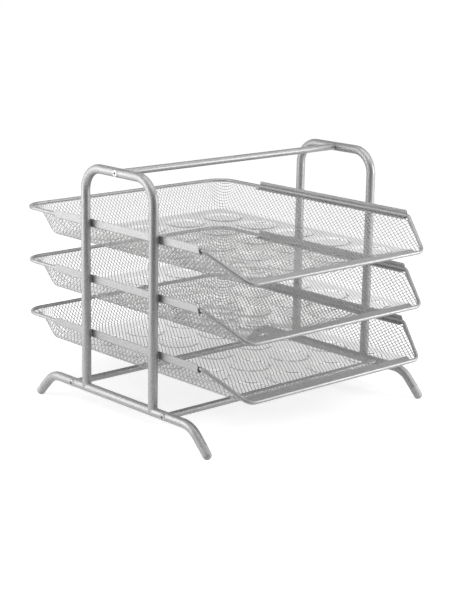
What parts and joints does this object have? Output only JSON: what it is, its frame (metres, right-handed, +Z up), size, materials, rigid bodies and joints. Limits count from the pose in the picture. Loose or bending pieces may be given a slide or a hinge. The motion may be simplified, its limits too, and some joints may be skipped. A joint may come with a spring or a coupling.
{
  "type": "desk document tray stack",
  "caption": "Free-standing desk stack of mesh document trays with low fronts, each sliding forward on ledge rails of a frame of bent steel tube.",
  "frame": {"origin": "on the table, under the middle of the trays", "axes": "+X right, +Y back, +Z up; the low fronts of the trays face -Y"},
  "size_m": [0.3104, 0.3352, 0.2593],
  "materials": {
    "tube_paint": "silver-grey powder coat",
    "rail_paint": "silver-grey powder coat",
    "rim_paint": "silver-grey powder coat",
    "mesh_paint": "silver-grey powder coat on expanded mesh",
    "screw_steel": "zinc plated",
    "cap_plastic": "satin grey",
    "insert_brass": "plain"
  },
  "bodies": {
    "frame": {"left_hoop": "tube_paint", "right_hoop": "tube_paint", "left_foot_tube": "tube_paint", "right_foot_tube": "tube_paint", "top_cross_bar": "tube_paint", "front_cross_bar": "tube_paint", "rear_cross_bar": "tube_paint", "upper_left_rail": "rail_paint", "upper_right_rail": "rail_paint", "middle_left_rail": "rail_paint", "middle_right_rail": "rail_paint", "lower_left_rail": "rail_paint", "lower_right_rail": "rail_paint", "left_front_foot_cap": "cap_plastic", "left_rear_foot_cap": "cap_plastic", "right_front_foot_cap": "cap_plastic", "right_rear_foot_cap": "cap_plastic", "top_bar_screws": "screw_steel", "front_bar_screws": "screw_steel", "rear_bar_screws": "screw_steel", "top_bar_inserts": "insert_brass", "front_bar_inserts": "insert_brass", "rear_bar_inserts": "insert_brass"},
    "upper_tray": {"upper_tray_rim": "rim_paint", "upper_tray_pan": "mesh_paint"},
    "middle_tray": {"middle_tray_rim": "rim_paint", "middle_tray_pan": "mesh_paint"},
    "lower_tray": {"lower_tray_rim": "rim_paint", "lower_tray_pan": "mesh_paint"}
  },
  "joints": [
    {"name": "upper_tray_slide", "type": "slide", "parent": "frame", "child": "upper_tray", "axis": [0, -1, 0], "range_m": [0, 0.11]},
    {"name": "middle_tray_slide", "type": "slide", "parent": "frame", "child": "middle_tray", "axis": [0, -1, 0], "range_m": [0, 0.11]},
    {"name": "lower_tray_slide", "type": "slide", "parent": "frame", "child": "lower_tray", "axis": [0, -1, 0], "range_m": [0, 0.11]}
  ]
}
